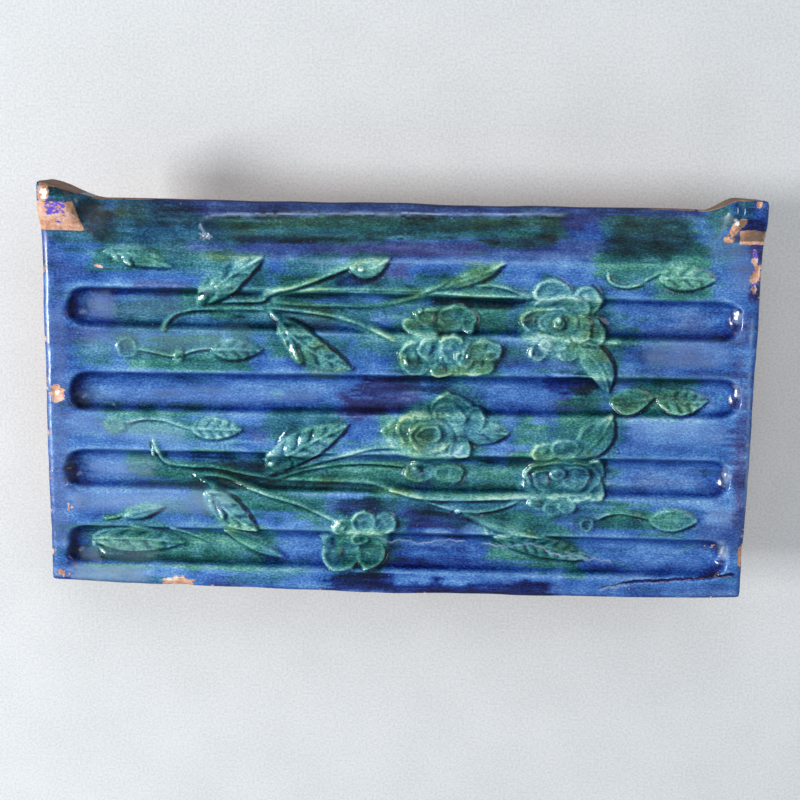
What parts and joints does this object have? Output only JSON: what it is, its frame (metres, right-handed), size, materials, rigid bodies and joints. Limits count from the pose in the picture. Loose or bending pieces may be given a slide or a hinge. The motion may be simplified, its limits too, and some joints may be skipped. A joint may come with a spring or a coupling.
{
  "type": "stove tile",
  "caption": "Glazed clay tile for the cornice of a tiled stove, with stopped flutes under a floral relief, a crest hollow between ears, and a hollow collar behind.",
  "frame": {"origin": "on the plane of the back rim, under the middle of the tile's box", "axes": "+X along the flutes, to the right as the face is seen; +Y towards the ears; +Z out of the glazed face"},
  "size_m": [0.3, 0.1747, 0.0606],
  "materials": {
    "glazed_clay": "cobalt-blue and copper-green lead glaze over red clay, bare clay at the chips and the back"
  },
  "bodies": {
    "root": {"stove_tile": "glazed_clay"}
  },
  "joints": []
}
